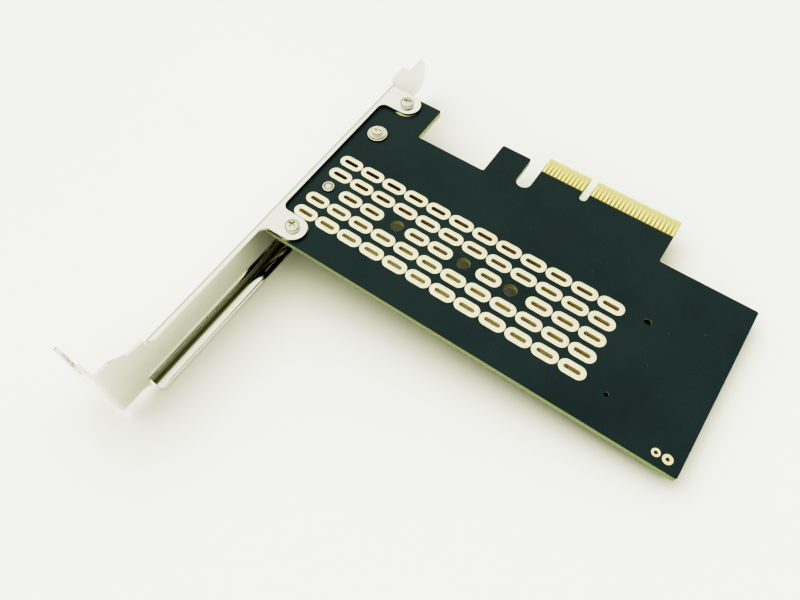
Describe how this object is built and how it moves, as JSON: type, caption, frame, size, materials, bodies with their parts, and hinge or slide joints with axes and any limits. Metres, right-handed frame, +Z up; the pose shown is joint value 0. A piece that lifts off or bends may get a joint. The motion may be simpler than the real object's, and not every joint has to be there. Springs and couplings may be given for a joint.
{
  "type": "nvme adapter card",
  "caption": "Expansion card that seats one M.2 key-M drive in a PCI Express slot: dark green board pierced by plated cooling slots, gold edge fingers, folded nickel bracket",
  "frame": {"origin": "Middle of the card's footprint as it lies on a table, component side down, at table height (bottom centre of the box round the whole part).", "axes": "+Z up. +Y along the bracket, from its screw tab to its slot tongue, which is also the way the gold fingers point. +X from the bracket to the far end of the board, which slopes down by about 6 degrees because the bracket's lip and the drive socket touch the table."},
  "size_m": [0.1154, 0.12, 0.022],
  "materials": {
    "solder_mask": "dark green solder mask on glass-fibre laminate",
    "gold_finger": "polished gold plate",
    "nickel_sheet": "bright nickel plate on 0.8 mm steel sheet",
    "plated_screw": "bright nickel plate",
    "nickel_brass": "nickel plate on turned brass",
    "socket_plastic": "black glass-filled moulding",
    "contact_metal": "thin gold flash, tinned tails",
    "ceramic": "tan ceramic with tinned ends",
    "resistor_black": "black glaze with tinned ends",
    "lamp_resin": "clear resin over a pale base"
  },
  "bodies": {
    "root": {"circuit_board": "solder_mask", "edge_contacts_solder_side": "gold_finger", "edge_contacts_component_side": "gold_finger", "bracket": "nickel_sheet", "ear_screw_upper": "plated_screw", "ear_screw_lower": "plated_screw", "ear_nut_upper": "plated_screw", "ear_nut_lower": "plated_screw", "storage_nut": "nickel_brass", "storage_screw": "plated_screw", "standoff": "nickel_brass", "module_screw": "plated_screw", "socket_housing": "socket_plastic", "socket_contacts_front": "contact_metal", "socket_contacts_rear": "contact_metal", "socket_hold_downs": "contact_metal", "bulk_capacitors": "ceramic", "decoupling_capacitors": "ceramic", "resistors": "resistor_black", "status_lamp": "lamp_resin"}
  },
  "joints": []
}
